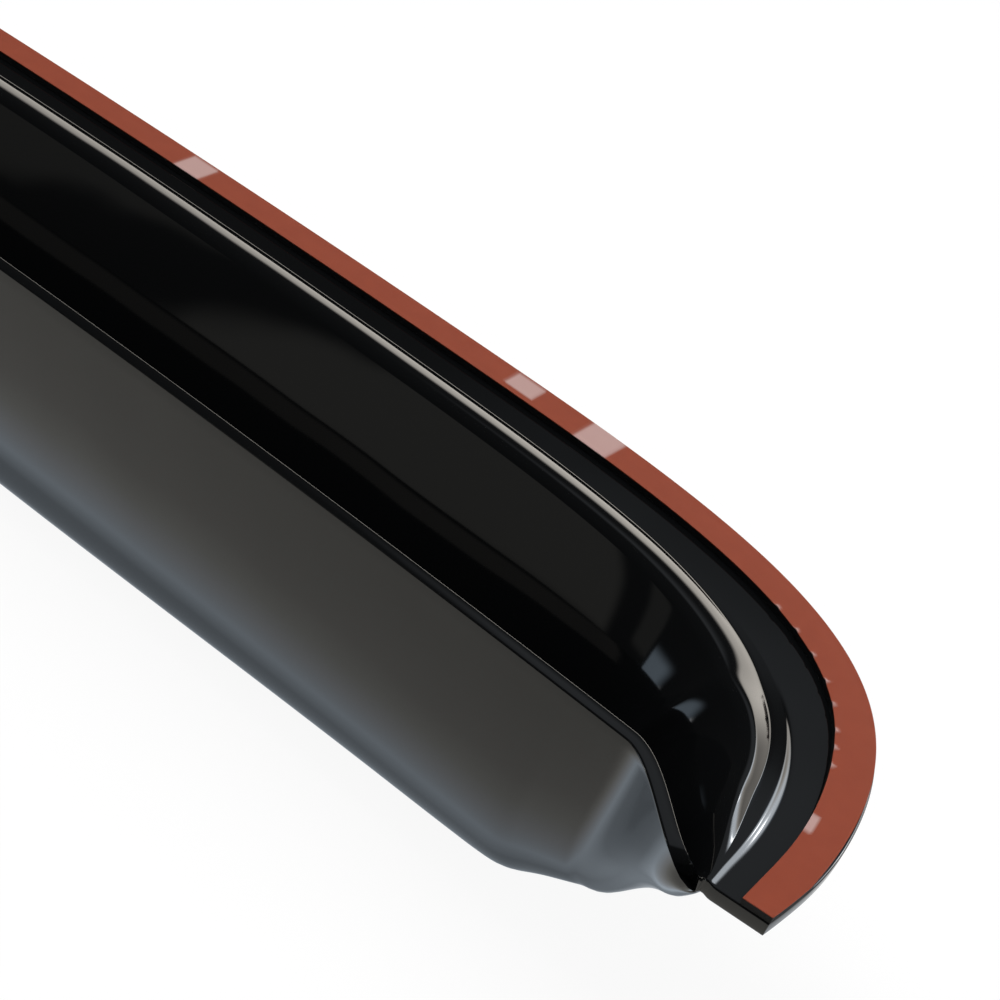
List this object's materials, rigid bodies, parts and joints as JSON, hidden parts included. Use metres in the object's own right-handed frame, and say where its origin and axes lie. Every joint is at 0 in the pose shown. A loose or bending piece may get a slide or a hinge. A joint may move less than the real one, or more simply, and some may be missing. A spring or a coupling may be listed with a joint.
{
  "type": "window rain deflector",
  "caption": "Smoked plastic side-window rain deflector: deep curved shell with a flat bonding flange, a low bead inside it, foam tape and a red release liner.",
  "frame": {"origin": "on the outer face of the release liner, at the tape's centre line at mid-length", "axes": "+Z out of the bonding face towards the car, +X along the deflector towards its rounded end, +Y from the free edge towards the taped long side"},
  "size_m": [0.4391, 0.0791, 0.0475],
  "materials": {
    "shell": "polished dark smoke acrylic",
    "foam": "fine closed-cell acrylic foam",
    "liner": "satin polyester film"
  },
  "bodies": {
    "root": {"deflector_shell": "shell", "foam_tape": "foam", "release_liner": "liner"}
  },
  "joints": []
}
